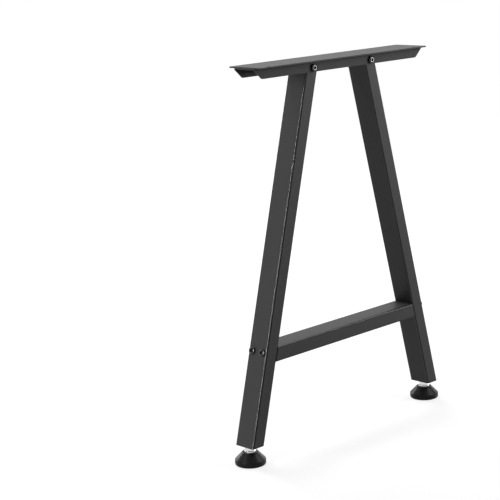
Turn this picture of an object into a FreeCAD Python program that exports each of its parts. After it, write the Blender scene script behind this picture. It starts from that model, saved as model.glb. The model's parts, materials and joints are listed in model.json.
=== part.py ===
import FreeCAD, Part
import math
import os
import Sketcher

# Steel trestle leg for a table top, standing on two levelling feet.
# Millimetres. X runs along the top plate, Y is its depth, Z is up.
# The origin is on the floor, half way between the feet.
SIZES = {
    # whole trestle
    "overall_height": 711,
    "foot_spacing": 496,
    "leg_lean_angle": 14.45,
    "tube_bottom": 35,
    "crossbar_height": 196,
    # flat plate under the table top
    "plate_length": 450,
    "plate_width": 74,
    "plate_thickness": 2.5,
    "plate_corner_radius": 1.5,
    "top_hole_diameter": 6,
    "top_hole_inset": 30,
    # folded channel that takes the leg tubes
    "channel_sheet": 2,
    "channel_drop": 18.5,
    "channel_bend_radius": 3,
    "channel_end_run": 18,
    "channel_corner_radius": 5,
    "channel_side_clearance": 0.25,
    "leg_top_clearance": 0.5,
    # rectangular tube of the legs and the crossbar
    "tube_depth": 45,
    "tube_face": 28,
    "tube_wall": 2,
    "tube_corner_radius": 3,
    "crossbar_end_clearance": 0.1,
    # inserts welded into the tube ends
    "insert_clearance": 0.1,
    "crossbar_plate_thickness": 5,
    "leg_plate_thickness": 4,
    # button head screws
    "screw_diameter": 8,
    "screw_tip_chamfer": 0.8,
    "screw_head_diameter": 14,
    "screw_head_height": 4.4,
    "screw_head_round": 3.6,
    "screw_socket_width": 5,
    "screw_socket_depth": 2.8,
    "screw_hole_clearance": 0.3,
    "thread_clearance": 0.05,
    "top_screw_length": 14,
    "top_screw_drop": 13.5,
    "crossbar_screw_length": 40,
    "crossbar_screw_pitch": 25,
    # nuts
    "top_nut_width": 13,
    "top_nut_height": 6.5,
    "foot_nut_width": 17,
    "foot_nut_height": 8,
    # levelling foot: threaded stud with hexagon and collar
    "stud_diameter": 10,
    "stud_length": 27,
    "stud_tip_chamfer": 1.2,
    "hex_gap": 1,
    "hex_width": 17,
    "hex_height": 7.5,
    "hex_corner_chamfer": 1.2,
    "collar_diameter": 22,
    "collar_height": 3.5,
    "spigot_diameter": 12,
    "spigot_length": 12,
    # levelling foot: moulded pad
    "pad_diameter": 56.5,
    "pad_rim_height": 9.8,
    "pad_height": 24,
    "pad_top_diameter": 29,
    "pad_sole_radius": 3.2,
    "pad_shoulder_radius": 3,
    "pad_lip_radius": 0.8,
    "collar_clearance": 0.4,
    "pad_axial_clearance": 0.2,
}

SHEET = "sizes"
LEFT, RIGHT = -1, 1
SIDE_NAMES = {LEFT: "left", RIGHT: "right"}
FRONT, BACK = -1, 1
FACE_NAMES = {FRONT: "front", BACK: "back"}

doc = FreeCAD.newDocument("trestle_table_leg")
sheet = doc.addObject("Spreadsheet::Sheet", SHEET)
for row, (alias, value) in enumerate(SIZES.items(), start=1):
    sheet.set(f"A{row}", alias)
    sheet.set(f"B{row}", str(value))
    sheet.setAlias(f"B{row}", alias)
doc.recompute()


def size(alias):
    """The reference to one cell of the sheet, for use in an expression."""
    return f"{SHEET}.{alias}"


def value(expression):
    """The number that an expression gives at the present sizes."""
    result = sheet.evalExpression(expression)
    return float(getattr(result, "Value", result))


# Places that several pieces share, each worked out once from the sheet.
LEAN_DEGREES = f"({size('leg_lean_angle')} * 1 deg)"
TAN_LEAN = f"tan({LEAN_DEGREES})"
SIN_LEAN = f"sin({LEAN_DEGREES})"
COS_LEAN = f"cos({LEAN_DEGREES})"
FOOT_X = f"({size('foot_spacing')} / 2)"
HALF_FACE = f"({size('tube_face')} / 2)"
PLATE_UNDERSIDE = f"({size('overall_height')} - {size('plate_thickness')})"
CHANNEL_INSIDE = f"({size('tube_depth')} / 2 + {size('channel_side_clearance')})"
CHANNEL_OUTSIDE = f"({CHANNEL_INSIDE} + {size('channel_sheet')})"
LEG_TOP = f"({PLATE_UNDERSIDE} - {size('channel_sheet')} - {size('leg_top_clearance')})"
LEG_LENGTH = f"(({LEG_TOP} - {size('tube_bottom')}) / {COS_LEAN})"
TOP_HOLE_X = f"({size('plate_length')} / 2 - {size('top_hole_inset')})"
TOP_HOLE_Y = f"(({CHANNEL_OUTSIDE} + {size('plate_width')} / 2) / 2)"

# The top screws cross the centre line of each leg.
TOP_SCREW_Z = f"({size('overall_height')} - {size('top_screw_drop')})"
TOP_SCREW_X = f"({FOOT_X} - ({TOP_SCREW_Z} - {size('tube_bottom')}) * {TAN_LEAN})"
TOP_SCREW_ALONG_LEG = f"(({TOP_SCREW_Z} - {size('tube_bottom')}) / {COS_LEAN})"

# The crossbar screws are square to the leg and meet the crossbar's axis at the leg's inner face.
JOINT_RISE = f"({size('crossbar_height')} - {size('tube_bottom')})"
INNER_FACE_X = f"({FOOT_X} - {JOINT_RISE} * {TAN_LEAN} - {HALF_FACE} / {COS_LEAN})"
CROSSBAR_SCREW_ALONG_LEG = f"(({JOINT_RISE} + {HALF_FACE} * {SIN_LEAN}) / {COS_LEAN})"
CROSSBAR_HALF = f"({INNER_FACE_X} - {size('crossbar_end_clearance')} / {COS_LEAN})"

SCREW_HOLE = f"({size('screw_diameter')} + 2 * {size('screw_hole_clearance')})"
SCREW_THREAD_BORE = f"({size('screw_diameter')} + 2 * {size('thread_clearance')})"
STUD_THREAD_BORE = f"({size('stud_diameter')} + 2 * {size('thread_clearance')})"

# Heights in the levelling foot, screwed fully in.
HEX_TOP = f"({size('tube_bottom')} - {size('hex_gap')})"
HEX_BOTTOM = f"({HEX_TOP} - {size('hex_height')})"
COLLAR_BOTTOM = f"({HEX_BOTTOM} - {size('collar_height')})"
SPIGOT_BOTTOM = f"({COLLAR_BOTTOM} - {size('spigot_length')})"
STUD_TOP = f"({HEX_TOP} + {size('stud_length')})"
RECESS_FLOOR = f"({COLLAR_BOTTOM} - {size('pad_axial_clearance')})"


def new_body(label):
    body = doc.addObject("PartDesign::Body", label)
    body.Label = label
    return body


def place(body, x="0", y="0", z="0", axis=None, angle="0"):
    """Puts a body at a point given by expressions, turned about one axis by an angle in degrees."""
    if axis is not None:
        body.Placement.Rotation = FreeCAD.Rotation(axis, 1)
        body.setExpression("Placement.Rotation.Angle", angle)
    for name, expression in (("x", x), ("y", y), ("z", z)):
        body.setExpression(f"Placement.Base.{name}", expression)


def new_sketch(body, role, name, offset=None):
    """A sketch on one of the body's own origin planes, lifted off it by an expression if one is given."""
    plane = next(item for item in body.Origin.OriginFeatures if item.Role == role)
    sketch = body.newObject("Sketcher::SketchObject", name)
    sketch.AttachmentSupport = [(plane, "")]
    sketch.MapMode = "FlatFace"
    if offset is not None:
        sketch.setExpression("AttachmentOffset.Base.z", offset)
    return sketch


def bind(sketch, kind, *where):
    """Adds one dimension to a sketch, driven by the expression given last."""
    *points, expression = where
    index = sketch.addConstraint(Sketcher.Constraint(kind, *points, value(expression)))
    sketch.setExpression(f"Constraints[{index}]", expression)


def pin_point(sketch, geometry, end, point):
    """Fixes one end of a piece of geometry at a point whose coordinates are expressions."""
    origin = (-1, 1)
    bind(sketch, "DistanceX", *origin, geometry, end, point[0])
    bind(sketch, "DistanceY", *origin, geometry, end, point[1])


def vector(point):
    return FreeCAD.Vector(value(point[0]), value(point[1]), 0)


def polygon(sketch, points):
    """A closed outline of straight edges whose corners are given by expressions."""
    corners = [vector(point) for point in points]
    lines = []
    for index, corner in enumerate(corners):
        following = corners[(index + 1) % len(corners)]
        lines.append(sketch.addGeometry(Part.LineSegment(corner, following), False))
    for index, line in enumerate(lines):
        following = lines[(index + 1) % len(lines)]
        sketch.addConstraint(Sketcher.Constraint("Coincident", line, 2, following, 1))
    for line, point in zip(lines, points):
        pin_point(sketch, line, 1, point)


def circle(sketch, centre, diameter):
    start = Part.Circle(vector(centre), FreeCAD.Vector(0, 0, 1), value(diameter) / 2)
    index = sketch.addGeometry(start, False)
    pin_point(sketch, index, 3, centre)
    bind(sketch, "Diameter", index, diameter)


def rounded_rectangle(sketch, half_width, half_height, radius):
    """A rectangle about the origin with four equal corner arcs."""
    flat_x = f"({half_width} - {radius})"
    flat_y = f"({half_height} - {radius})"
    lines = []
    for start, end in (
        ((half_width, f"-{flat_y}"), (half_width, flat_y)),
        ((flat_x, half_height), (f"-{flat_x}", half_height)),
        ((f"-{half_width}", flat_y), (f"-{half_width}", f"-{flat_y}")),
        ((f"-{flat_x}", f"-{half_height}"), (flat_x, f"-{half_height}")),
    ):
        line = sketch.addGeometry(Part.LineSegment(vector(start), vector(end)), False)
        pin_point(sketch, line, 1, start)
        pin_point(sketch, line, 2, end)
        lines.append(line)
    quarter = math.pi / 2
    for index, (sign_x, sign_y) in enumerate(((1, 1), (-1, 1), (-1, -1), (1, -1))):
        centre = FreeCAD.Vector(sign_x * value(flat_x), sign_y * value(flat_y), 0)
        round_start = Part.Circle(centre, FreeCAD.Vector(0, 0, 1), value(radius))
        arc = sketch.addGeometry(Part.ArcOfCircle(round_start, index * quarter, (index + 1) * quarter), False)
        sketch.addConstraint(Sketcher.Constraint("Coincident", arc, 1, lines[index], 2))
        sketch.addConstraint(Sketcher.Constraint("Coincident", arc, 2, lines[(index + 1) % 4], 1))
        bind(sketch, "Radius", arc, radius)


def hexagon(sketch, width):
    """A regular hexagon about the origin with two flats square to the X axis."""
    corner = f"({width} / sqrt(3))"
    polygon(sketch, (
        ("0", corner), (f"-{width} / 2", f"{corner} / 2"), (f"-{width} / 2", f"-{corner} / 2"),
        ("0", f"-{corner}"), (f"{width} / 2", f"-{corner} / 2"), (f"{width} / 2", f"{corner} / 2"),
    ))


def pad(body, sketch, length, symmetric=False):
    feature = body.newObject("PartDesign::Pad", f"{body.Name}_pad")
    feature.Profile = sketch
    feature.setExpression("Length", length)
    if symmetric:
        feature.SideType = "Symmetric"
    return feature


def cut_through(body, sketch):
    """Cuts a sketch through the whole body, to both sides of its plane."""
    feature = body.newObject("PartDesign::Pocket", f"{body.Name}_cut")
    feature.Profile = sketch
    feature.Type = "ThroughAll"
    feature.SideType = "Symmetric"
    return feature


def turn(body, sketch, kind):
    """Turns a sketch on the XZ plane about the body's Z axis: a Revolution adds, a Groove cuts."""
    feature = body.newObject(f"PartDesign::{kind}", f"{body.Name}_turned")
    feature.Profile = sketch
    feature.ReferenceAxis = (sketch, ["V_Axis"])
    feature.Angle = 360
    return feature


def round_edges(body, base, chosen, radius):
    """Rounds the edges of a feature that the chosen test picks by their middle and their direction."""
    doc.recompute()
    names = []
    for number, edge in enumerate(base.Shape.Edges, start=1):
        middle = edge.valueAt((edge.FirstParameter + edge.LastParameter) / 2)
        along = edge.tangentAt(edge.FirstParameter)
        if chosen(middle, along):
            names.append(f"Edge{number}")
    feature = body.newObject("PartDesign::Fillet", f"{body.Name}_round")
    feature.Base = (base, names)
    feature.setExpression("Radius", radius)
    return feature


def near(first, second, tolerance=0.01):
    return abs(first - second) < tolerance


# Top plate: flat steel, with one row of wood screw holes on each side of the channel.
def make_top_plate():
    body = new_body("top_plate")
    place(body, z=PLATE_UNDERSIDE)
    outline = new_sketch(body, "XY_Plane", "top_plate_outline")
    rounded_rectangle(
        outline, f"({size('plate_length')} / 2)", f"({size('plate_width')} / 2)", size("plate_corner_radius")
    )
    for sign_x in ("-", ""):
        for sign_y in ("-", ""):
            centre = (f"{sign_x}{TOP_HOLE_X}", f"{sign_y}{TOP_HOLE_Y}")
            circle(outline, centre, size("top_hole_diameter"))
    pad(body, outline, size("plate_thickness"))
    return body


# Channel: one folded sheet, open below, with its web against the plate.
# Its walls are sheared back at both ends and drilled for the top screws.
def make_top_channel():
    body = new_body("top_channel")
    place(body, z=PLATE_UNDERSIDE)
    section = new_sketch(body, "YZ_Plane", "top_channel_section")
    web_bottom = f"-{size('channel_sheet')}"
    wall_bottom = f"-{size('channel_drop')}"
    polygon(section, (
        (f"-{CHANNEL_OUTSIDE}", wall_bottom), (f"-{CHANNEL_INSIDE}", wall_bottom),
        (f"-{CHANNEL_INSIDE}", web_bottom), (CHANNEL_INSIDE, web_bottom),
        (CHANNEL_INSIDE, wall_bottom), (CHANNEL_OUTSIDE, wall_bottom),
        (CHANNEL_OUTSIDE, "0"), (f"-{CHANNEL_OUTSIDE}", "0"),
    ))
    folded = pad(body, section, size("plate_length"), symmetric=True)
    outside = value(CHANNEL_OUTSIDE)
    folded = round_edges(
        body, folded,
        lambda middle, along: near(abs(along.x), 1) and near(middle.z, 0) and near(abs(middle.y), outside),
        size("channel_bend_radius"),
    )
    inside = value(CHANNEL_INSIDE)
    inner_top = value(web_bottom)
    folded = round_edges(
        body, folded,
        lambda middle, along: near(abs(along.x), 1) and near(middle.z, inner_top) and near(abs(middle.y), inside),
        f"({size('channel_bend_radius')} - {size('channel_sheet')})",
    )
    ends = new_sketch(body, "XZ_Plane", "top_channel_ends")
    half_length = f"({size('plate_length')} / 2)"
    beyond = f"({half_length} + {size('channel_drop')})"
    below = f"({wall_bottom} - {size('channel_drop')})"
    run = f"({half_length} - {size('channel_end_run')})"
    for sign in ("", "-"):
        polygon(ends, (
            (f"{sign}{half_length}", web_bottom), (f"{sign}{run}", wall_bottom), (f"{sign}{run}", below),
            (f"{sign}{beyond}", below), (f"{sign}{beyond}", web_bottom),
        ))
    sheared = cut_through(body, ends)
    corner_x = value(run)
    corner_z = value(wall_bottom)
    round_edges(
        body, sheared,
        lambda middle, along: near(abs(along.y), 1) and near(abs(middle.x), corner_x) and near(middle.z, corner_z),
        size("channel_corner_radius"),
    )
    holes = new_sketch(body, "XZ_Plane", "top_channel_holes")
    for sign in ("-", ""):
        centre = (f"{sign}{TOP_SCREW_X}", f"{size('plate_thickness')} - {size('top_screw_drop')}")
        circle(holes, centre, SCREW_HOLE)
    cut_through(body, holes)
    return body


# Rectangular tube along the body's own Z, from 0 to its length, mitred at both ends.
# A mitre's angle is measured about Y, and zero would be a square end.
def make_tube(label, length, start_angle, end_angle):
    body = new_body(label)
    section = new_sketch(body, "XY_Plane", f"{label}_section", offset=f"-{size('tube_face')}")
    outer_x = HALF_FACE
    outer_y = f"({size('tube_depth')} / 2)"
    wall = size("tube_wall")
    rounded_rectangle(section, outer_x, outer_y, size("tube_corner_radius"))
    rounded_rectangle(
        section, f"({outer_x} - {wall})", f"({outer_y} - {wall})", f"({size('tube_corner_radius')} - {wall})"
    )
    pad(body, section, f"{length} + 2 * {size('tube_face')}")
    reach = size("tube_face")
    mitres = new_sketch(body, "XZ_Plane", f"{label}_mitres")
    start_rise = f"{reach} * tan({start_angle} * 1 deg)"
    end_rise = f"{reach} * tan({end_angle} * 1 deg)"
    polygon(mitres, (
        (f"-{reach}", f"-({start_rise})"), (reach, start_rise),
        (reach, f"-2 * {reach}"), (f"-{reach}", f"-2 * {reach}"),
    ))
    polygon(mitres, (
        (f"-{reach}", f"{length} - {end_rise}"), (reach, f"{length} + {end_rise}"),
        (reach, f"{length} + 2 * {reach}"), (f"-{reach}", f"{length} + 2 * {reach}"),
    ))
    cut_through(body, mitres)
    return body


# Leg: both ends are level cuts, and two pairs of holes take the screws.
def make_leg_tube(side):
    name = SIDE_NAMES[side]
    tilt = f"({-side} * {size('leg_lean_angle')})"
    body = make_tube(f"{name}_leg_tube", LEG_LENGTH, tilt, tilt)
    place(body, x=f"{side} * {FOOT_X}", z=size("tube_bottom"), axis=FreeCAD.Vector(0, 1, 0), angle=tilt)
    top_hole = new_sketch(body, "XZ_Plane", f"{name}_leg_top_hole")
    circle(top_hole, ("0", TOP_SCREW_ALONG_LEG), SCREW_HOLE)
    cut_through(body, top_hole)
    side_holes = new_sketch(body, "YZ_Plane", f"{name}_leg_side_holes")
    for sign in ("-", ""):
        centre = (f"{sign}{size('crossbar_screw_pitch')} / 2", CROSSBAR_SCREW_ALONG_LEG)
        circle(side_holes, centre, SCREW_HOLE)
    cut_through(body, side_holes)
    return body


# Crossbar: the same tube lying along X, mitred to the inner faces of the legs.
def make_crossbar_tube():
    lean = size("leg_lean_angle")
    body = make_tube("crossbar_tube", f"(2 * {CROSSBAR_HALF})", f"(-{lean})", lean)
    place(
        body, x=f"-{CROSSBAR_HALF}", z=size("crossbar_height"), axis=FreeCAD.Vector(0, 1, 0), angle="90"
    )
    return body


def insert_half(outside_half):
    """Half the width of a piece that fits inside the tube, from half the tube's outside."""
    return f"({outside_half} - {size('tube_wall')} - {size('insert_clearance')})"


INSERT_DEPTH = f"(2 * {insert_half(size('tube_depth') + ' / 2')})"
INSERT_ROUND = f"({size('tube_corner_radius')} - {size('tube_wall')})"


# Threaded plate welded into each end of the crossbar, parallel to the leg's face.
def make_crossbar_end_plate(side):
    body = new_body(f"{SIDE_NAMES[side]}_crossbar_end_plate")
    place(
        body, x=f"{side} * {INNER_FACE_X}", z=size("crossbar_height"),
        axis=FreeCAD.Vector(0, 1, 0), angle=f"({-side} * {size('leg_lean_angle')})",
    )
    near_x = size("crossbar_end_clearance")
    far_x = f"({near_x} + {size('crossbar_plate_thickness')})"
    half = insert_half(HALF_FACE)
    outline = new_sketch(body, "XZ_Plane", f"{body.Name}_outline")
    corners = []
    for depth_x, sign in ((near_x, "-"), (far_x, "-"), (far_x, ""), (near_x, "")):
        corners.append((f"{-side} * {depth_x}", f"({sign}{half} + {depth_x} * {SIN_LEAN}) / {COS_LEAN}"))
    polygon(outline, corners)
    block = pad(body, outline, INSERT_DEPTH, symmetric=True)
    half_depth = value(INSERT_DEPTH) / 2
    round_edges(
        body, block,
        lambda middle, along: near(abs(middle.y), half_depth) and abs(along.z) < 0.5,
        INSERT_ROUND,
    )
    holes = new_sketch(body, "YZ_Plane", f"{body.Name}_holes")
    for sign in ("-", ""):
        circle(holes, (f"{sign}{size('crossbar_screw_pitch')} / 2", "0"), SCREW_THREAD_BORE)
    cut_through(body, holes)
    return body


# Level plate welded into the bottom of each leg, bored for the levelling stud.
def make_leg_end_plate(side):
    body = new_body(f"{SIDE_NAMES[side]}_leg_end_plate")
    place(body, x=f"{side} * {FOOT_X}", z=size("tube_bottom"))
    half = f"({insert_half(HALF_FACE)} / {COS_LEAN})"
    height = size("leg_plate_thickness")
    shift = f"({-side} * {height} * {TAN_LEAN})"
    outline = new_sketch(body, "XZ_Plane", f"{body.Name}_outline")
    polygon(outline, (
        (f"-{half}", "0"), (half, "0"), (f"{half} + {shift}", height), (f"{shift} - {half}", height),
    ))
    block = pad(body, outline, INSERT_DEPTH, symmetric=True)
    half_depth = value(INSERT_DEPTH) / 2
    round_edges(
        body, block,
        lambda middle, along: near(abs(middle.y), half_depth) and abs(along.z) > 0.5,
        INSERT_ROUND,
    )
    bore = new_sketch(body, "XY_Plane", f"{body.Name}_bore")
    circle(bore, ("0", "0"), STUD_THREAD_BORE)
    cut_through(body, bore)
    return body


def make_nut(label, width, height, bore):
    body = new_body(label)
    outline = new_sketch(body, "XY_Plane", f"{label}_outline")
    hexagon(outline, width)
    circle(outline, ("0", "0"), bore)
    pad(body, outline, height)
    return body


# Nut welded on the leg's end plate.
def make_foot_nut(side):
    body = make_nut(
        f"{SIDE_NAMES[side]}_foot_nut", size("foot_nut_width"), size("foot_nut_height"), STUD_THREAD_BORE
    )
    place(body, x=f"{side} * {FOOT_X}", z=f"{size('tube_bottom')} + {size('leg_plate_thickness')}")
    return body


# Nut welded inside the leg's wall behind each top screw.
def make_top_nut(side, face):
    name = f"{SIDE_NAMES[side]}_{FACE_NAMES[face]}_top_nut"
    body = make_nut(name, size("top_nut_width"), size("top_nut_height"), SCREW_THREAD_BORE)
    place(
        body, x=f"{side} * {TOP_SCREW_X}", y=f"{face} * ({size('tube_depth')} / 2 - {size('tube_wall')})",
        z=TOP_SCREW_Z, axis=FreeCAD.Vector(1, 0, 0), angle=f"{face} * 90",
    )
    return body


# Button head screw: seat of the head at the body's origin, shank along its own -Z.
def make_screw(label, length):
    body = new_body(label)
    profile = new_sketch(body, "XZ_Plane", f"{label}_profile")
    head = f"({size('screw_head_diameter')} / 2)"
    shank = f"({size('screw_diameter')} / 2)"
    chamfer = size("screw_tip_chamfer")
    height = size("screw_head_height")
    polygon(profile, (
        ("0", height), (head, height), (head, "0"), (shank, "0"),
        (shank, f"{chamfer} - {length}"), (f"{shank} - {chamfer}", f"-{length}"), ("0", f"-{length}"),
    ))
    turned = turn(body, profile, "Revolution")
    top = value(height)
    radius = value(head)
    round_edges(
        body, turned,
        lambda middle, along: near(middle.z, top) and near(math.hypot(middle.x, middle.y), radius),
        size("screw_head_round"),
    )
    socket = new_sketch(body, "XY_Plane", f"{label}_socket", offset=height)
    hexagon(socket, size("screw_socket_width"))
    recess = body.newObject("PartDesign::Pocket", f"{label}_recess")
    recess.Profile = socket
    recess.setExpression("Length", size("screw_socket_depth"))
    return body


def make_top_screw(side, face):
    body = make_screw(f"{SIDE_NAMES[side]}_{FACE_NAMES[face]}_top_screw", size("top_screw_length"))
    place(
        body, x=f"{side} * {TOP_SCREW_X}", y=f"{face} * {CHANNEL_OUTSIDE}", z=TOP_SCREW_Z,
        axis=FreeCAD.Vector(1, 0, 0), angle=f"{-face} * 90",
    )
    return body


def make_crossbar_screw(side, face):
    body = make_screw(f"{SIDE_NAMES[side]}_{FACE_NAMES[face]}_crossbar_screw", size("crossbar_screw_length"))
    place(
        body,
        x=f"{side} * ({INNER_FACE_X} + {size('tube_face')} * {COS_LEAN})",
        y=f"{face} * {size('crossbar_screw_pitch')} / 2",
        z=f"{size('crossbar_height')} + {size('tube_face')} * {SIN_LEAN}",
        axis=FreeCAD.Vector(0, 1, 0), angle=f"{side} * (90 - {size('leg_lean_angle')})",
    )
    return body


# Stud of the levelling foot: spigot in the pad, collar, hexagon and threaded shank in one piece.
def make_foot_stud(side):
    body = new_body(f"{SIDE_NAMES[side]}_foot_stud")
    place(body, x=f"{side} * {FOOT_X}")
    profile = new_sketch(body, "XZ_Plane", f"{body.Name}_profile")
    spigot = f"({size('spigot_diameter')} / 2)"
    collar = f"({size('collar_diameter')} / 2)"
    shank = f"({size('stud_diameter')} / 2)"
    chamfer = size("stud_tip_chamfer")
    polygon(profile, (
        ("0", SPIGOT_BOTTOM), (spigot, SPIGOT_BOTTOM), (spigot, COLLAR_BOTTOM), (collar, COLLAR_BOTTOM),
        (collar, HEX_BOTTOM), (shank, HEX_BOTTOM), (shank, f"{STUD_TOP} - {chamfer}"),
        (f"{shank} - {chamfer}", STUD_TOP), ("0", STUD_TOP),
    ))
    turn(body, profile, "Revolution")
    outline = new_sketch(body, "XY_Plane", f"{body.Name}_hexagon", offset=HEX_BOTTOM)
    hexagon(outline, size("hex_width"))
    pad(body, outline, size("hex_height"))
    corner = new_sketch(body, "XZ_Plane", f"{body.Name}_corner")
    reach = f"({size('hex_width')} / 2 + 2 * {size('hex_corner_chamfer')})"
    polygon(corner, (
        (f"{size('hex_width')} / 2", HEX_TOP), (reach, f"{HEX_TOP} - {size('hex_corner_chamfer')}"),
        (reach, HEX_TOP),
    ))
    turn(body, corner, "Groove")
    return body


# Moulded pad: flat sole, upright rim and a cone with a recess for the collar.
def make_foot_pad(side):
    body = new_body(f"{SIDE_NAMES[side]}_foot_pad")
    place(body, x=f"{side} * {FOOT_X}")
    profile = new_sketch(body, "XZ_Plane", f"{body.Name}_profile")
    rim = f"({size('pad_diameter')} / 2)"
    lip = f"({size('pad_top_diameter')} / 2)"
    recess = f"({size('collar_diameter')} / 2 + {size('collar_clearance')})"
    bore = f"({size('spigot_diameter')} / 2 + {size('thread_clearance')})"
    bore_floor = f"({SPIGOT_BOTTOM} - {size('pad_axial_clearance')})"
    polygon(profile, (
        ("0", "0"), (rim, "0"), (rim, size("pad_rim_height")), (lip, size("pad_height")),
        (recess, size("pad_height")), (recess, RECESS_FLOOR), (bore, RECESS_FLOOR),
        (bore, bore_floor), ("0", bore_floor),
    ))
    turned = turn(body, profile, "Revolution")
    for radius, height, rounding in (
        (value(rim), 0, size("pad_sole_radius")),
        (value(rim), value(size("pad_rim_height")), size("pad_shoulder_radius")),
        (value(lip), value(size("pad_height")), size("pad_lip_radius")),
    ):
        turned = round_edges(
            body, turned,
            lambda middle, along: near(math.hypot(middle.x, middle.y), radius) and near(middle.z, height),
            rounding,
        )
    return body


def make_all():
    make_top_plate()
    make_top_channel()
    make_crossbar_tube()
    for side in (LEFT, RIGHT):
        make_leg_tube(side)
        make_crossbar_end_plate(side)
        make_leg_end_plate(side)
        make_foot_nut(side)
        make_foot_stud(side)
        make_foot_pad(side)
        for face in (FRONT, BACK):
            make_top_screw(side, face)
            make_top_nut(side, face)
            make_crossbar_screw(side, face)


make_all()
doc.recompute()

bodies = [item for item in doc.Objects if item.TypeId == "PartDesign::Body"]
for item in doc.Objects:
    if "Invalid" in item.State or "Error" in item.State:
        raise RuntimeError(f"{item.Label} did not build: {item.State}")
for body in bodies:
    if body.Shape.isNull() or not body.Shape.isValid() or len(body.Shape.Solids) != 1:
        raise RuntimeError(f"{body.Label} is not one sound solid")

os.makedirs("parts", exist_ok=True)
for body in bodies:
    body.Shape.exportStep(f"parts/{body.Label}.step")
    box = body.Shape.BoundBox
    print(
        f"{body.Label:32s} volume {body.Shape.Volume:10.1f}"
        f"  x {box.XMin:7.1f} {box.XMax:7.1f}  y {box.YMin:6.1f} {box.YMax:6.1f}  z {box.ZMin:6.1f} {box.ZMax:6.1f}"
    )
print(len(bodies), "pieces")
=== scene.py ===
# %% [markdown]
# A steel trestle leg for a table.
# Two leaning tubes hang in a folded channel under a flat plate, a crossbar ties them together,
# and each tube stands on a levelling foot. The construction is already solid geometry, loaded
# here as a fixed frame. This lesson dresses it: finishes for the powder coated steel, the black
# screws, the bright studs and the moulded pads, and finer meshes for the turned pieces, whose
# roundness, threads and sockets show most when somebody comes close.

# %% Load the frame
import json
import math

import bmesh
import bpy
from mathutils import Matrix, Vector


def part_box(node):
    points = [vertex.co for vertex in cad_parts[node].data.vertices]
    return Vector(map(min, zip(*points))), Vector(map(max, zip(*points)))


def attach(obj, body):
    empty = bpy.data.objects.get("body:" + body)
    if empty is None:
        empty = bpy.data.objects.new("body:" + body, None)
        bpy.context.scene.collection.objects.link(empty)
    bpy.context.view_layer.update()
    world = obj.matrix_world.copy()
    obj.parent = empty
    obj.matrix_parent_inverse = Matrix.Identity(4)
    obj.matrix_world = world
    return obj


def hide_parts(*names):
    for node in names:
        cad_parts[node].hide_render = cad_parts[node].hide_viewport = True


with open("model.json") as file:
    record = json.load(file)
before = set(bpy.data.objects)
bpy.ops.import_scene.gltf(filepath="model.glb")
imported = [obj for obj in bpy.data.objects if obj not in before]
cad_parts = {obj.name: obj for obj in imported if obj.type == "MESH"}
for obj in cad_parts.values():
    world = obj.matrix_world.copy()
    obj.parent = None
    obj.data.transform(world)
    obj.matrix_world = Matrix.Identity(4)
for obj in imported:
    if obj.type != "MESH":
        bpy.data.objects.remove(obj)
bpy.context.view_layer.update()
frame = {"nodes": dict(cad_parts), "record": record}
bpy.context.scene.view_settings.view_transform = "Standard"
MM = 0.001
SIDES = ("left", "right")
print("pieces in the frame:", len(frame["nodes"]))

# %% [markdown]
# Shader maths reads best as ordinary arithmetic. A Signal wraps one output of a node. Adding or
# multiplying Signals and numbers adds the Math node that does it, so a mask can be written as
# `1 - oil * 0.5`. A Network is a set of nodes under construction: its method node adds any other
# node with its settings and the values or links of its sockets, and feed fills a single socket.

# %% A signal in a shader
class Signal:
    def __init__(self, network, socket):
        self.network = network
        self.socket = socket

    def calculate(self, operation, first, second, clamp=False):
        settings = {"operation": operation, "use_clamp": clamp}
        made = self.network.node("ShaderNodeMath", settings, {0: first, 1: second})
        return Signal(self.network, made.outputs[0])

    def __add__(self, other):
        return self.calculate("ADD", self, other)

    def __radd__(self, other):
        return self.calculate("ADD", other, self)

    def __sub__(self, other):
        return self.calculate("SUBTRACT", self, other)

    def __rsub__(self, other):
        return self.calculate("SUBTRACT", other, self)

    def __mul__(self, other):
        return self.calculate("MULTIPLY", self, other)

    def __rmul__(self, other):
        return self.calculate("MULTIPLY", other, self)

    def __abs__(self):
        return self.calculate("ABSOLUTE", self, 0.0)

    def lesser(self, other):
        return self.calculate("MINIMUM", self, other)

    def clamped(self):
        """Kept between 0 and 1."""
        return self.calculate("ADD", self, 0.0, clamp=True)


class Network:
    def __init__(self, tree):
        self.tree = tree

    def feed(self, socket, source):
        if isinstance(source, Signal):
            source = source.socket
        if isinstance(source, bpy.types.NodeSocket):
            self.tree.links.new(source, socket)
        else:
            socket.default_value = source

    def node(self, kind, settings=None, sockets=None):
        made = self.tree.nodes.new(kind)
        for name, setting in (settings or {}).items():
            setattr(made, name, setting)
        for name, source in (sockets or {}).items():
            self.feed(made.inputs[name], source)
        return made


print("shader arithmetic ready")

# %% [markdown]
# A Finish is the network of one material. It starts from the standard shader, sets what is the
# same all over the surface on the shader itself, and feeds it what changes from place to place: a
# noise, a blend of two colours that follows a noise, or a relief that catches the light.

# %% A finish
MIX_LOW_COLOUR = 6
MIX_HIGH_COLOUR = 7
MIX_RESULT_COLOUR = 2


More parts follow.
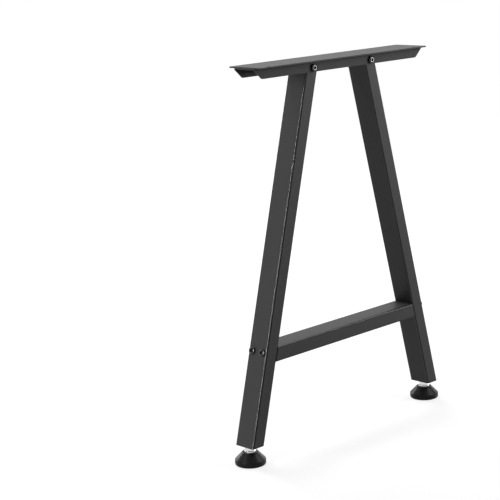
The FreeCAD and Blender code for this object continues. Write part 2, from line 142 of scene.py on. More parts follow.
class Finish(Network):
    def __init__(self, name, **constants):
        self.material = bpy.data.materials.new(name)
        self.material.use_nodes = True
        super().__init__(self.material.node_tree)
        self.shader = self.tree.nodes["Principled BSDF"]
        for label, number in constants.items():
            self.shader.inputs[label.replace("_", " ")].default_value = number

    def noise(self, size, detail):
        """Soft random spots about as large as size, in metres, over the piece's own space."""
        place = self.node("ShaderNodeTexCoord").outputs["Object"]
        sockets = {"Vector": place, "Scale": 1 / size, "Detail": detail}
        return Signal(self, self.node("ShaderNodeTexNoise", None, sockets).outputs["Fac"])

    def blend(self, mask, low, high):
        """A colour that runs from low to high as the mask runs from 0 to 1."""
        sockets = {"Factor": mask, MIX_LOW_COLOUR: (*low, 1), MIX_HIGH_COLOUR: (*high, 1)}
        return self.node("ShaderNodeMix", {"data_type": "RGBA"}, sockets).outputs[MIX_RESULT_COLOUR]

    def relief(self, height, depth, strength):
        sockets = {"Height": height, "Distance": depth, "Strength": strength}
        bump = self.node("ShaderNodeBump", None, sockets)
        self.feed(self.shader.inputs["Normal"], bump.outputs["Normal"])

    def surface(self, name, source):
        self.feed(self.shader.inputs[name], source)

    def vary(self, signal, roughness, greys):
        """Roughness and grey that run from their first value to their second with the signal."""
        smooth, rough = roughness
        dark, light = greys
        self.surface("Roughness", smooth + signal * (rough - smooth))
        self.surface("Base Color", self.blend(signal, grey(dark), grey(light)))


def grey(level):
    return (level, level, level)


def mixed(first, second, share):
    """Two signals in one: a share of the first, and the rest of the second."""
    return first * share + second * (1 - share)


print("white as a colour:", grey(1))

# %% [markdown]
# The corners of the tubes. Their colour is darkened almost to black, a painted shade that draws a
# dark line along each rounded corner. The half of a corner towards the tube's wide face is glossier
# too, so a lamp draws a fine line of light along the leg, beside the painted dark line. Such lines
# could be strips of their own, but a mask keeps them part of the surface, and it follows from the
# tube's size alone. The point is turned until the tube stands upright, and it is on a corner when
# it is near the outside both across the tube and along its depth.

# %% Tube corners
HALF_FACE = 14 * MM
HALF_DEPTH = 22.5 * MM
CORNER_RADIUS = 3 * MM
CORNER_EDGE = 0.8 * MM
PAINTED_SHADE_MARGIN = 0.7 * MM
GLOSS_DEPTH = 1.6 * MM


def tube_corners(finish, centre, turn, front_gloss):
    """Two masks for a tube through a point, turned about Y: the painted shade on its rounded
    corners, and their gloss.
    """
    place = finish.node("ShaderNodeTexCoord").outputs["Object"]
    sockets = {"Vector": place, "Center": centre, "Angle": turn}
    upright = finish.node("ShaderNodeVectorRotate", {"rotation_type": "Y_AXIS"}, sockets)
    sockets = {0: upright.outputs["Vector"], 1: centre}
    moved = finish.node("ShaderNodeVectorMath", {"operation": "SUBTRACT"}, sockets)
    parts = finish.node("ShaderNodeSeparateXYZ", None, {"Vector": moved.outputs["Vector"]})
    across = abs(Signal(finish, parts.outputs["X"])) - (HALF_FACE - CORNER_RADIUS)
    deep = abs(Signal(finish, parts.outputs["Y"])) - (HALF_DEPTH - CORNER_RADIUS)
    inside = across.lesser(deep)
    # Painted shade: a mask that darkens the colour along each rounded corner, from a little before
    # it starts.
    dark = ((inside + PAINTED_SHADE_MARGIN) * (1 / CORNER_EDGE)).clamped()
    front_half = ((deep - GLOSS_DEPTH) * (1 / CORNER_EDGE)).clamped()
    glossy = (inside * (1 / CORNER_EDGE)).clamped() * (1 - front_half * (1 - front_gloss))
    return dark, glossy


print("flat part of a narrow face, in metres:", round(2 * (HALF_FACE - CORNER_RADIUS), 4))

# %% [markdown]
# The powder coat. Plastic powder is sprayed on and baked, so it flows into a skin that is even in
# colour but never quite flat: from close up it has a shallow orange peel about a millimetre
# across. One grey and one roughness all over would look like a toy. Two sizes of noise make the
# peel as a bump. The coarser of them also makes its crests a little rougher than its valleys, and
# a wide, faint cloud keeps a long tube from looking the same from end to end.

# %% Powder coat
PEEL_SIZE = 1.1 * MM
GRAIN_SIZE = 0.3 * MM
CLOUD_SIZE = 60 * MM
PEEL_SHARE = 0.7
PEEL_DEPTH = 0.05 * MM
COAT_ROUGHNESS = 0.42
PEEL_ROUGHNESS = 0.08
CLOUD_ROUGHNESS = 0.04
COAT_LEVEL = 0.044
COAT_SPREAD = 0.010
CLOUD_SHARE = 0.6
COAT_SHINE = 0.22
CORNER_GLOSS = 0.1
CORNER_SKIN = 0.8
# How far the painted shade darkens the colour of the tubes' corners.
CORNER_PAINTED_SHADE = 0.97


def make_powder_coat(name, tube=None, base_level=COAT_LEVEL, shine=COAT_SHINE):
    finish = Finish(name, IOR=1.45, Specular_IOR_Level=shine, Coat_Roughness=0.12)
    peel = finish.noise(PEEL_SIZE, detail=1.0)
    grain = finish.noise(GRAIN_SIZE, detail=2.0)
    cloud = finish.noise(CLOUD_SIZE, detail=2.0)
    finish.relief(mixed(peel, grain, PEEL_SHARE), depth=PEEL_DEPTH, strength=0.55)
    roughness = COAT_ROUGHNESS + peel * PEEL_ROUGHNESS + cloud * CLOUD_ROUGHNESS
    level = base_level + mixed(cloud, grain, CLOUD_SHARE) * COAT_SPREAD
    if tube is not None:
        dark, glossy = tube_corners(finish, *tube)
        roughness = roughness - glossy * CORNER_GLOSS
        # Painted shade: the colour of the corners is darkened almost to black, to draw a dark line
        # along them.
        level = level * (1 - dark * CORNER_PAINTED_SHADE)
        finish.surface("Coat Weight", glossy * CORNER_SKIN)
    finish.surface("Roughness", roughness)
    finish.surface("Base Color", finish.blend(level, grey(0), grey(1)))
    return finish.material


FINISHES = {"powder_coat": make_powder_coat("powder_coat")}
print("finish:", FINISHES["powder_coat"].name)

# %% [markdown]
# The screws are black all over: steel blackened in a bath, then oiled. That skin is thin and dark
# and keeps the smooth shine of the metal below it. A black paint would look dull and flat, so this
# is a near black with a low roughness, and faint patches where more oil stayed.

# %% Blackened steel
OIL_SIZE = 4 * MM
TOOLING_SIZE = 0.25 * MM
TOOLING_DEPTH = 0.01 * MM


def make_blackened_steel():
    finish = Finish("blackened_steel", IOR=1.5, Specular_IOR_Level=0.38)
    oil = finish.noise(OIL_SIZE, detail=2.0)
    tooling = finish.noise(TOOLING_SIZE, detail=1.0)
    finish.relief(tooling, depth=TOOLING_DEPTH, strength=0.4)
    finish.vary(oil, roughness=(0.13, 0.21), greys=(0.003, 0.007))
    return finish.material


FINISHES["black_screw"] = make_blackened_steel()
print("finish:", FINISHES["black_screw"].name)

# %% [markdown]
# The studs are bright plated. A plated thread or hexagon mirrors what is round it, with very fine
# lines left by the tool that turned it. Real grooves would take millions of faces. The lines run
# round the stud's axis, so a noise that is squeezed along Z gives the same thin rings instead.

# %% Bright plating
RING_SQUEEZE = (60, 60, 6000)


def make_bright_plating():
    finish = Finish("bright_plating", Metallic=1.0)
    place = finish.node("ShaderNodeTexCoord").outputs["Object"]
    sockets = {0: place, 1: RING_SQUEEZE}
    squeezed = finish.node("ShaderNodeVectorMath", {"operation": "MULTIPLY"}, sockets)
    sockets = {"Vector": squeezed.outputs["Vector"], "Scale": 1.0, "Detail": 2.0}
    turned = Signal(finish, finish.node("ShaderNodeTexNoise", None, sockets).outputs["Fac"])
    finish.relief(turned, depth=TOOLING_DEPTH, strength=0.3)
    finish.vary(turned, roughness=(0.10, 0.20), greys=(0.62, 0.78))
    return finish.material


FINISHES["bright_chrome"] = make_bright_plating()
print("finish:", FINISHES["bright_chrome"].name)

# %% [markdown]
# The pads are moulded in black plastic. A polished mould leaves a smooth skin with a soft shine,
# and the flow of the plastic leaves it very slightly uneven, so the highlights wander a little. A
# perfectly even black would look like a hole in the picture.

# %% Moulded plastic
FLOW_SIZE = 9 * MM
SPARK_SIZE = 0.35 * MM
FLOW_SHARE = 0.6
FLOW_DEPTH = 0.03 * MM


def make_moulded_plastic():
    finish = Finish("moulded_plastic", IOR=1.48, Specular_IOR_Level=0.14)
    flow = finish.noise(FLOW_SIZE, detail=1.0)
    spark = finish.noise(SPARK_SIZE, detail=2.0)
    finish.relief(mixed(flow, spark, FLOW_SHARE), depth=FLOW_DEPTH, strength=0.35)
    finish.vary(flow, roughness=(0.30, 0.40), greys=(0.002, 0.004))
    return finish.material


FINISHES["black_plastic"] = make_moulded_plastic()
print("finish:", FINISHES["black_plastic"].name)

# %% [markdown]
# The nuts inside the tubes are zinc plated, a duller silver with a blotchy crystal pattern. Nobody
# sees them once the trestle is built, but they are real pieces and get their own finish. One noise
# with more detail is enough for the crystals.

# %% Zinc plating
CRYSTAL_SIZE = 1.5 * MM
CRYSTAL_DEPTH = 0.02 * MM


def make_zinc_plating():
    finish = Finish("zinc_plating", Metallic=1.0)
    crystals = finish.noise(CRYSTAL_SIZE, detail=3.0)
    finish.relief(crystals, depth=CRYSTAL_DEPTH, strength=0.3)
    finish.vary(crystals, roughness=(0.30, 0.50), greys=(0.42, 0.60))
    return finish.material


FINISHES["steel_insert"] = make_zinc_plating()
print("all finishes:", ", ".join(sorted(FINISHES)))

# %% [markdown]
# The frame's own pieces keep their shape, and bring the normals that make their rounded corners
# look round, so each only takes the finish of its slot in the record. The tubes take one of their
# own, which knows where their corners are and how much gloss the half towards the narrow face has.
# The channel takes a slightly darker and duller one.

# %% Finish the frame's pieces
CHANNEL_LEVEL = 0.036
CHANNEL_SHINE = 0.17
LEAN = math.radians(14.45)
FOOT_X = 248 * MM
TUBE_BOTTOM = 35 * MM
CROSSBAR_HEIGHT = 196 * MM
LEG_FRONT_GLOSS = 0.0
CROSSBAR_FRONT_GLOSS = 0.35
TUBES = {
    "left_leg_tube": ((-FOOT_X, 0, TUBE_BOTTOM), -LEAN, LEG_FRONT_GLOSS),
    "right_leg_tube": ((FOOT_X, 0, TUBE_BOTTOM), LEAN, LEG_FRONT_GLOSS),
    "crossbar_tube": ((0, 0, CROSSBAR_HEIGHT), math.pi / 2, CROSSBAR_FRONT_GLOSS),
}
SLOT_OF = {row["node"]: row["material_slot"] for row in frame["record"]["subparts"]}


def finish_of(name):
    coat = f"powder_coat_{name}"
    if name in TUBES:
        return make_powder_coat(coat, TUBES[name])
    if name == "top_channel":
        return make_powder_coat(coat, None, CHANNEL_LEVEL, CHANNEL_SHINE)
    return FINISHES[SLOT_OF[name]]


for name, piece in frame["nodes"].items():
    piece.data.materials.clear()
    piece.data.materials.append(finish_of(name))
print("finished pieces:", len(SLOT_OF))

# %% [markdown]
# Turned pieces are all made the same way: a ring of points is carried up and round an axis. Where
# a piece is round, a ring has one radius. Where it is six-sided or threaded, the radius and height
# of each point depend on its angle, so a ring is given as a function of the angle. That keeps the
# hexagon, the socket and the thread in one clean mesh with the round parts.

# %% A turned mesh
def flat_ring(radius, height):
    return lambda angle: (radius, height)


def turned_mesh(name, rings, segments):
    """A closed mesh from rings, each a function from an angle to a radius and a height."""
    mesh = bmesh.new()
    rows = []
    for ring in rings:
        row = []
        for index in range(segments):
            angle = 2 * math.pi * index / segments
            radius, height = ring(angle)
            row.append(mesh.verts.new((radius * math.cos(angle), radius * math.sin(angle), height)))
        rows.append(row)
    for lower, upper in zip(rows, rows[1:]):
        for index in range(segments):
            following = (index + 1) % segments
            mesh.faces.new((lower[index], lower[following], upper[following], upper[index]))
    for row in (list(reversed(rows[0])), rows[-1]):
        height = sum(vert.co.z for vert in row) / segments
        middle = mesh.verts.new((0, 0, height))
        for index in range(segments):
            mesh.faces.new((row[index], row[(index + 1) % segments], middle))
    bmesh.ops.recalc_face_normals(mesh, faces=mesh.faces)
    data = bpy.data.meshes.new(name)
    mesh.to_mesh(data)
    mesh.free()
    return data


print("a flat ring, radius and height at an angle:", flat_ring(5 * MM, 0)(math.pi))

# %% [markdown]
# A moulded or turned piece has no truly sharp corner, and a tiny arc on each is what catches the
# light. Blender's bevel could round them, but it works on a finished mesh and has to guess which
# edges are meant. Here the arcs are in the outline itself: each corner is a radius, a height and a
# rounding.

# %% A rounded outline
def rounded_profile(corners, steps=6):
    """Points along an outline of (radius, height, rounding) corners, with arcs at round ones."""
    points = []
    for index, (radius, height, rounding) in enumerate(corners):
        here = Vector((radius, height))
        if not rounding:
            points.append(here)
            continue
        before = (Vector(corners[index - 1][:2]) - here).normalized()
        after = (Vector(corners[index + 1][:2]) - here).normalized()
        half = before.angle(after) / 2
        reach = rounding / math.tan(half)
        centre = here + (before + after).normalized() * rounding / math.sin(half)
        start = here + before * reach - centre
        end = here + after * reach - centre
        for step in range(steps + 1):
            points.append(centre + start.lerp(end, step / steps).normalized() * rounding)
    return points


def rings_along(points):
    return [flat_ring(point.x, point.y) for point in points]


one_corner = ((0, 0, 0), (5 * MM, 0, MM), (5 * MM, 5 * MM, 0))
print("points of an outline with one rounded corner:", len(rounded_profile(one_corner)))

# %% [markdown]
# A finer mesh stands in for a piece of the frame. It is moved to that piece's place, takes the
# finish of its slot and rides on its body, so it moves with the foot or stays with the frame.
# Meshes that are made here have no normals yet: they are shaded smooth, and only edges that turn
# by more than a set angle stay sharp.

# %% A new piece
SHARP_ANGLE = math.radians(32)


def new_piece(data, slot, body, node, place):
    """Puts a mesh where the frame's piece is, and lets it stand for that piece."""
    data.transform(place)
    data.materials.append(FINISHES[slot])
    data.shade_smooth()
    data.set_sharp_from_angle(angle=SHARP_ANGLE)
    piece = bpy.data.objects.new(data.name, data)
    bpy.context.scene.collection.objects.link(piece)
    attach(piece, body)
    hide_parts(node)
    return piece


print("edges stay sharp from, in degrees:", round(math.degrees(SHARP_ANGLE)))

# %% [markdown]
# The pad of a levelling foot. It is moulded in one piece: a flat sole with a small radius so that
# it does not dig into the floor, an upright rim, a soft shoulder, and a cone that rises to a lip
# round the stud's collar. It is one outline turned round the axis, the quickest and truest way to
# a moulded round piece. The recess and bore are in the outline too, because the stud sits down in
# them.

# %% Levelling pads
PAD_SEGMENTS = 128
SOLE_ROUND = 3.2 * MM
RIM_HEIGHT = 9.8 * MM
SHOULDER_ROUND = 3 * MM
LIP_RADIUS = 14.5 * MM
LIP_ROUND = 0.8 * MM
COLLAR_RECESS_RADIUS = 11.4 * MM
RECESS_ROUND = 0.3 * MM
RECESS_FLOOR = 22.8 * MM
SPIGOT_BORE_RADIUS = 6.05 * MM
BORE_ROUND = 0.4 * MM
BORE_FLOOR = 10.8 * MM


def make_pad(side):
    low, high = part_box(f"{side}_foot_pad")
    rim = (high[0] - low[0]) / 2
    top = high[2]
    rings = rings_along(rounded_profile((
        (rim - 2 * SOLE_ROUND, 0, 0),
        (rim, 0, SOLE_ROUND),
        (rim, RIM_HEIGHT, SHOULDER_ROUND),
        (LIP_RADIUS, top, LIP_ROUND),
        (COLLAR_RECESS_RADIUS, top, RECESS_ROUND),
        (COLLAR_RECESS_RADIUS, RECESS_FLOOR, 0),
        (SPIGOT_BORE_RADIUS, RECESS_FLOOR, BORE_ROUND),
        (SPIGOT_BORE_RADIUS, BORE_FLOOR, 0),
        (SPIGOT_BORE_RADIUS / 2, BORE_FLOOR, 0),
    )))
    data = turned_mesh(f"{side}_levelling_pad", rings, PAD_SEGMENTS)
    place = Matrix.Translation(((low[0] + high[0]) / 2, 0, 0))
    return new_piece(data, "black_plastic", f"{side}_pad", f"{side}_foot_pad", place)


for side in SIDES:
    pad = make_pad(side)
    print(pad.name, "faces:", len(pad.data.polygons))

# %% [markdown]
# A thread is a ridge that climbs one pitch in each turn. It could be a spiral of its own wound
# round the shank, but then two meshes meet in a ragged line. Along any line up the shank the
# radius repeats once a pitch, and the pattern slides up as the angle grows. So the shank is a
# stack of rings whose radius follows that pattern, with a flat crest, straight flanks and a flat
# root as on a real rolled thread. The ends fade to the root so that the thread runs out cleanly.

# %% A thread
CREST_SHARE = 0.20
FLANK_SHARE = 0.32
DEPTH_SHARE = 0.54
RUN_IN_SHARE = 0.6
STEPS_IN_PITCH = 10


def thread_level(phase):
    """From 0 at the root of the thread to 1 at its crest, as the phase runs from 0 to 1."""
    distance = abs(phase % 1 - 0.5)
    if distance < CREST_SHARE / 2:
        return 1.0
    return max(0.0, 1 - (distance - CREST_SHARE / 2) / FLANK_SHARE)


def thread_ring(radius, pitch, height, share):
    """One ring of a thread that has grown to a share of its full depth."""
    depth = pitch * DEPTH_SHARE

    def ring(angle):
        level = thread_level(height / pitch - angle / (2 * math.pi))
        return radius - depth + depth * share * level, height

    return ring


def shank_rings(radius, pitch, start, end, tip):
    """A threaded shank from one height to another, with its end chamfered by the tip."""
    root = radius - pitch * DEPTH_SHARE
    last = end - math.copysign(tip / 2, end - start)
    count = round(abs(last - start) / pitch * STEPS_IN_PITCH)
    rings = [flat_ring(root, start)]
    for step in range(count + 1):
        height = start + (last - start) * step / count
        grown = min(1, abs(height - start) / (RUN_IN_SHARE * pitch))
        left = min(1, abs(last - height) / tip)
        rings.append(thread_ring(radius, pitch, height, min(grown, left)))
    rings.append(flat_ring(root - tip / 2, end))
    return rings


print("thread level at quarters of a pitch:", [round(thread_level(n / 4), 2) for n in range(4)])

# %% [markdown]
# The hexagon for the spanner. A plain six-sided prism looks like a toy, because the corners of a
# real one are cut back by a cone when it is turned. The cone leaves a small arc on each flat: the
# height of the hexagon's edge drops as the corner stands further out. The sockets of the screws
# are hexagons without that cone, and take only the radius from here.

# %% A hexagon
CHAMFER_START = 0.94
CHAMFER_SLOPE = math.tan(math.radians(30))


def hexagon_radius(width, angle):
    """The distance from the axis to a hexagon's side, with two flats square to X."""
    turn = (angle + math.pi / 6) % (math.pi / 3) - math.pi / 6
    return width / 2 / math.cos(turn)


def hexagon_rings(width, bottom, top):
    """A hexagon between two heights whose upper and lower corners are cut back by a cone."""
    flat_top = width / 2 * CHAMFER_START

    def drop(angle):
        return (hexagon_radius(width, angle) - flat_top) * CHAMFER_SLOPE

    return [
        flat_ring(flat_top, bottom),
        lambda angle: (hexagon_radius(width, angle), bottom + drop(angle)),
        lambda angle: (hexagon_radius(width, angle), top - drop(angle)),
        flat_ring(flat_top, top),
    ]


print("corner of a hexagon one wide, from its axis:", round(hexagon_radius(1, math.pi / 6), 3))

# %% [markdown]
# The stud of a levelling foot, in one bright piece: a spigot that turns in the pad, a flat collar,
# a hexagon for the spanner, and the threaded shank that goes up into the leg. Four pieces would
# show seams where the real one is turned from one bar, so the rings of all four are one stack.

# %% Levelling studs
STUD_SEGMENTS = 96
STUD_PITCH = 1.5 * MM
STUD_RADIUS = 5 * MM
STUD_TIP = 1.2 * MM
SPIGOT_RADIUS = 6 * MM
SPIGOT_ROUND = 0.5 * MM
COLLAR_RADIUS = 11 * MM
COLLAR_BOTTOM = 23 * MM
COLLAR_BOTTOM_ROUND = 0.4 * MM
COLLAR_TOP_ROUND = 0.6 * MM
RING_WIDTH = 2 * MM
HEX_BOTTOM = 26.5 * MM
HEX_TOP = 34 * MM
HEX_WIDTH = 17 * MM


def make_stud(side):
    low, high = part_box(f"{side}_foot_stud")
    bottom, top = low[2], high[2]
    rings = rings_along(rounded_profile((
        (SPIGOT_RADIUS - RING_WIDTH, bottom, 0),
        (SPIGOT_RADIUS, bottom, SPIGOT_ROUND),
        (SPIGOT_RADIUS, COLLAR_BOTTOM, 0),
        (COLLAR_RADIUS, COLLAR_BOTTOM, COLLAR_BOTTOM_ROUND),
        (COLLAR_RADIUS, HEX_BOTTOM, COLLAR_TOP_ROUND),
        (COLLAR_RADIUS - RING_WIDTH, HEX_BOTTOM, 0),
    ), steps=4))
    rings += hexagon_rings(HEX_WIDTH, HEX_BOTTOM, HEX_TOP)
    rings += shank_rings(STUD_RADIUS, STUD_PITCH, HEX_TOP, top, STUD_TIP)
    data = turned_mesh(f"{side}_levelling_stud", rings, STUD_SEGMENTS)
    place = Matrix.Translation(((low[0] + high[0]) / 2, 0, 0))
    return new_piece(data, "bright_chrome", f"{side}_stud", f"{side}_foot_stud", place)


for side in SIDES:
    stud = make_stud(side)
    print(stud.name, "faces:", len(stud.data.polygons))

# %% [markdown]
# The screws have low domed heads with a hexagon socket. Round the socket runs a narrow flat. A
# lamp that it mirrors turns the whole flat bright at once, as a ring, while the dome beside it
# only shows a thin curved highlight. So the flat and the dome are both in the outline, and need no
# paint. The mesh starts at the bottom of the socket, climbs its six walls, crosses the countersink
# and the flat, and rolls over the dome to the seat. The thread goes on from there.

# %% A button head
SCREW_RADIUS = 4 * MM
HEAD_RADIUS = 7 * MM
HEAD_HEIGHT = 4.4 * MM
FLAT_RADIUS = 4 * MM
DOME_RADIUS = 14 * MM
DOME_STEPS = 8
DOME_ROUNDS = {0: 0.15 * MM, DOME_STEPS: 0.5 * MM}
SEAT_ROUND = 0.2 * MM
SOCKET_WIDTH = 5 * MM
SOCKET_DEPTH = 2.8 * MM
COUNTERSINK = 0.35 * MM
COUNTERSINK_DEPTH = 1.4 * COUNTERSINK


def dome_corners():
    """Corners from the rim of the flat to the edge of the head, with those two rounded."""
    inner = math.asin(FLAT_RADIUS / DOME_RADIUS)
    outer = math.asin(HEAD_RADIUS / DOME_RADIUS)
    centre = HEAD_HEIGHT - DOME_RADIUS * math.cos(inner)
    corners = []
    for step in range(DOME_STEPS + 1):
        slope = inner + (outer - inner) * step / DOME_STEPS
        height = centre + DOME_RADIUS * math.cos(slope)
        corners.append((DOME_RADIUS * math.sin(slope), height, DOME_ROUNDS.get(step, 0)))
    return corners


def head_rings():
    """Rings from the bottom of the socket to the seat of the head, which is at height zero."""
    socket_floor = HEAD_HEIGHT - SOCKET_DEPTH
    mouth = SOCKET_WIDTH / math.sqrt(3) + COUNTERSINK
    rings = [
        flat_ring(SOCKET_WIDTH / 4, socket_floor - COUNTERSINK),
        lambda angle: (hexagon_radius(SOCKET_WIDTH, angle), socket_floor),
        lambda angle: (hexagon_radius(SOCKET_WIDTH, angle), HEAD_HEIGHT - COUNTERSINK_DEPTH),
    ]
    return rings + rings_along(rounded_profile((
        (mouth, HEAD_HEIGHT, 0),
        *dome_corners(),
        (HEAD_RADIUS, 0, SEAT_ROUND),
        (SCREW_RADIUS, 0, 0),
    )))


print("rings in a head:", len(head_rings()))

# %% [markdown]
# Eight screws hold the trestle together: four go through the channel's walls into the tops of the
# legs, and four through the legs into the ends of the crossbar. The crossbar's ones lean, so the
# box round one says little about where it starts. A tip is plain to find: it is the end that lies
# furthest in, and the seat of the head is one screw's length back from the middle of it.

# %% Button head screws
SCREW_SEGMENTS = 72
SCREW_PITCH = 1.25 * MM
SCREW_TIP = 0.8 * MM
SCREW_LENGTH = {"top": 14 * MM, "crossbar": 40 * MM}
TIP_TOLERANCE = 0.01 * MM


def seat_of(node, direction, length):
    """Where the seat of a screw's head is: its length back from the middle of its tip."""
    corners = [vert.co for vert in frame["nodes"][node].data.vertices]
    lowest = min(corner.dot(direction) for corner in corners)
    tip = [corner for corner in corners if corner.dot(direction) < lowest + TIP_TOLERANCE]
    return sum(tip, Vector()) / len(tip) + direction * length


def make_screw(side, face, kind):
    node = f"{side}_{face}_{kind}_screw"
    if kind == "top":
        direction = Vector((0, -1 if face == "front" else 1, 0))
    else:
        outward = -1 if side == "left" else 1
        direction = Vector((outward * math.cos(LEAN), 0, math.sin(LEAN)))
    turn = direction.to_track_quat("Z", "Y").to_matrix().to_4x4()
    length = SCREW_LENGTH[kind]
    place = Matrix.Translation(seat_of(node, direction, length)) @ turn
    rings = head_rings() + shank_rings(SCREW_RADIUS, SCREW_PITCH, 0, -length, SCREW_TIP)
    data = turned_mesh(f"{side}_{face}_{kind}_button_screw", rings, SCREW_SEGMENTS)
    return new_piece(data, "black_screw", "frame", node, place)


for side in SIDES:
    for face in ("front", "back"):
        for kind in SCREW_LENGTH:
            screw = make_screw(side, face, kind)
            print(screw.name, "faces:", len(screw.data.polygons))

# %% [markdown]
# The camera stands where the photographer stood: low, well in front and to the left, with a long
# lens, so that the far leg is only a little smaller than the near one. It could be aimed at a
# point, but then its turn would be a guess. Its place and turn are worked out from the edges of
# the object in the picture, and it leans by about two degrees, as that picture does.

# %% Camera
FRAME_PIXELS = 500
SENSOR_WIDTH = 36.0
FOCAL_PIXELS = 1498.48
CAMERA_PLACE = Vector((-2022.65, -1842.27, 953.28)) * MM
CAMERA_HEADING = 0.7723
CAMERA_PITCH = -0.2152
CAMERA_ROLL = -0.0405


def make_camera():
    data = bpy.data.cameras.new("view")
    data.sensor_width = SENSOR_WIDTH
    data.lens = FOCAL_PIXELS / FRAME_PIXELS * SENSOR_WIDTH
    camera = bpy.data.objects.new("view", data)
    bpy.context.scene.collection.objects.link(camera)
    forward = Vector((
        math.sin(CAMERA_HEADING) * math.cos(CAMERA_PITCH),
        math.cos(CAMERA_HEADING) * math.cos(CAMERA_PITCH),
        math.sin(CAMERA_PITCH),
    ))
    level = Vector((math.cos(CAMERA_HEADING), -math.sin(CAMERA_HEADING), 0))
    upright = level.cross(forward)
    right = level * math.cos(CAMERA_ROLL) + upright * math.sin(CAMERA_ROLL)
    up = upright * math.cos(CAMERA_ROLL) - level * math.sin(CAMERA_ROLL)
    turn = Matrix((right, up, -forward)).transposed().to_4x4()
    camera.matrix_world = Matrix.Translation(CAMERA_PLACE) @ turn
    bpy.context.scene.camera = camera
    return camera


camera = make_camera()
print("lens in millimetres:", round(camera.data.lens, 1))

# %% [markdown]
# The floor is a plain paint that the lamps light only near the object. A floor lit to white all
# over would need more light than the object can take. So it also glows a little for the camera and
# for reflections, less where the lamps reach, and the sum is white. A shadow takes only the lamps'
# part away, so it stays on the floor, faint and soft. Seen from below the floor is clear, so that
# the underside can be looked at. The floor has two halves, one under each foot, and each half
# rides on its pad, so that a foot that is let out still stands on its floor, as on uneven ground.

# %% Floor
FLOOR_HALF = 40.0
FLOOR_HEIGHT = -0.05 * MM
FLOOR_COLOUR = 0.35
LIT_GLOW = 0.74
LIT_RADIUS = 0.7
UNLIT_RADIUS = 2.6


def looked_at(network):
    """One where the camera or a reflection looks, and zero where the surface only sheds light."""
    path = network.node("ShaderNodeLightPath")
    by_camera = Signal(network, path.outputs["Is Camera Ray"])
    by_gloss = Signal(network, path.outputs["Is Glossy Ray"])
    by_glass = Signal(network, path.outputs["Is Transmission Ray"])
    return (by_camera + by_gloss + by_glass).clamped()


def make_floor_paint():
    finish = Finish("floor_paint", Roughness=0.9, Specular_IOR_Level=0.0, Emission_Strength=1.0)
    finish.surface("Base Color", (*grey(FLOOR_COLOUR), 1))
    place = finish.node("ShaderNodeTexCoord").outputs["Object"]
    away = finish.node("ShaderNodeVectorMath", {"operation": "LENGTH"}, {0: place}).outputs["Value"]
    unlit = ((Signal(finish, away) - LIT_RADIUS) * (1 / (UNLIT_RADIUS - LIT_RADIUS))).clamped()
    glow = looked_at(finish) * (LIT_GLOW + unlit * (1 - LIT_GLOW))
    finish.surface("Emission Color", finish.blend(glow, grey(0), grey(1)))
    from_below = finish.node("ShaderNodeNewGeometry").outputs["Backfacing"]
    clear = finish.node("ShaderNodeBsdfTransparent").outputs["BSDF"]
    sockets = {0: from_below, 1: finish.shader.outputs[0], 2: clear}
    both = finish.node("ShaderNodeMixShader", None, sockets)
    finish.feed(finish.tree.nodes["Material Output"].inputs["Surface"], both.outputs[0])
    return finish.material


def make_floor(side, paint):
    low, high = (-FLOOR_HALF, 0) if side == "left" else (0, FLOOR_HALF)
    corners = [
        (low, -FLOOR_HALF, FLOOR_HEIGHT), (high, -FLOOR_HALF, FLOOR_HEIGHT),
        (high, FLOOR_HALF, FLOOR_HEIGHT), (low, FLOOR_HALF, FLOOR_HEIGHT),
    ]
    data = bpy.data.meshes.new(f"{side}_floor")
    data.from_pydata(corners, [], [(0, 1, 2, 3)])
    data.materials.append(paint)
    floor = bpy.data.objects.new(data.name, data)
    bpy.context.scene.collection.objects.link(floor)
    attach(floor, f"{side}_pad")
    return floor


floor_paint = make_floor_paint()
for side in SIDES:
    floor = make_floor(side, floor_paint)
    print(floor.name, "rides on the", f"{side} pad")

# %% [markdown]
# The room. Everything round the object is white, but a white room that shed light would leave dark
# steel flat, without shape. So the room is white only for whoever looks at it, directly or in a
# reflection, and as a light it is nearly off.

# %% Room
ROOM_LIGHT = 0.02


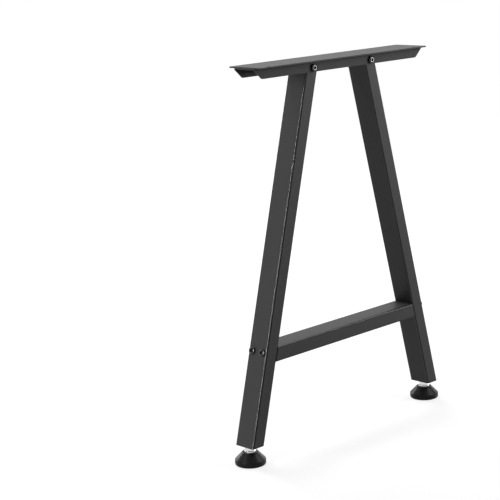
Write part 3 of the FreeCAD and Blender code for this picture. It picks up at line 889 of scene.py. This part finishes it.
def make_room():
    world = bpy.data.worlds.new("room")
    bpy.context.scene.world = world
    world.use_nodes = True
    network = Network(world.node_tree)
    background = network.tree.nodes["Background"]
    network.feed(background.inputs["Color"], (1, 1, 1, 1))
    network.feed(background.inputs["Strength"], ROOM_LIGHT + looked_at(network) * (1 - ROOM_LIGHT))
    return world


room = make_room()
print("world:", room.name)

# %% [markdown]
# The lamps. Dark steel needs shape, so they are small and stand apart. One near the front right
# lights the fronts, more at the top than at the feet. One high behind lights what faces up, and
# lets the leaning legs throw their shadow on the crossbar. A tall narrow one stands to the left in
# the trestle's own plane: it lights the left leg's outer face and draws the line on its corner,
# and the leg keeps it off the right one. A small one far to the front right is what the flats of
# the top screws mirror, and a small one high to the left makes the soft bands on the pads. The
# last two light the back and the right side, for whoever walks round.

# %% Lamps
LAMPS = {
    # name: place, what it is aimed at, size, power in watts
    "near_right": ((0.75, -0.75, 1.15), (0.05, 0, 0.6), (0.8, 0.8), 8.2),
    "front_strip": ((2.945, -2.673, 0.32), (0, 0, 0.69), (0.45, 0.25), 17),
    "behind_top": ((0.3, 1.2, 2.8), (0, 0, 0.5), (1.0, 1.0), 36),
    "left_strip": ((-3.6, 0, 1.05), (-0.2, 0, 0.35), (0.15, 1.7), 66),
    "left_high": ((-1.43, 0.7, 2.0), (-0.1, 0, 0), (0.3, 0.3), 4.5),
    "behind": ((0.1, 2.4, 0.9), (0, 0, 0.35), (0.8, 0.8), 18),
    "right_side": ((2.4, 0.5, 0.8), (0, 0, 0.35), (0.8, 0.8), 12),
}


def make_lamp(name, place, target, size, power):
    data = bpy.data.lights.new(name, "AREA")
    data.shape = "RECTANGLE"
    data.size, data.size_y = size
    data.energy = power
    lamp = bpy.data.objects.new(name, data)
    bpy.context.scene.collection.objects.link(lamp)
    aim = (Vector(target) - Vector(place)).to_track_quat("-Z", "Y")
    lamp.matrix_world = Matrix.Translation(place) @ aim.to_matrix().to_4x4()
    lamp.visible_camera = False


for name, settings in LAMPS.items():
    make_lamp(name, *settings)
print("lamps:", ", ".join(LAMPS))
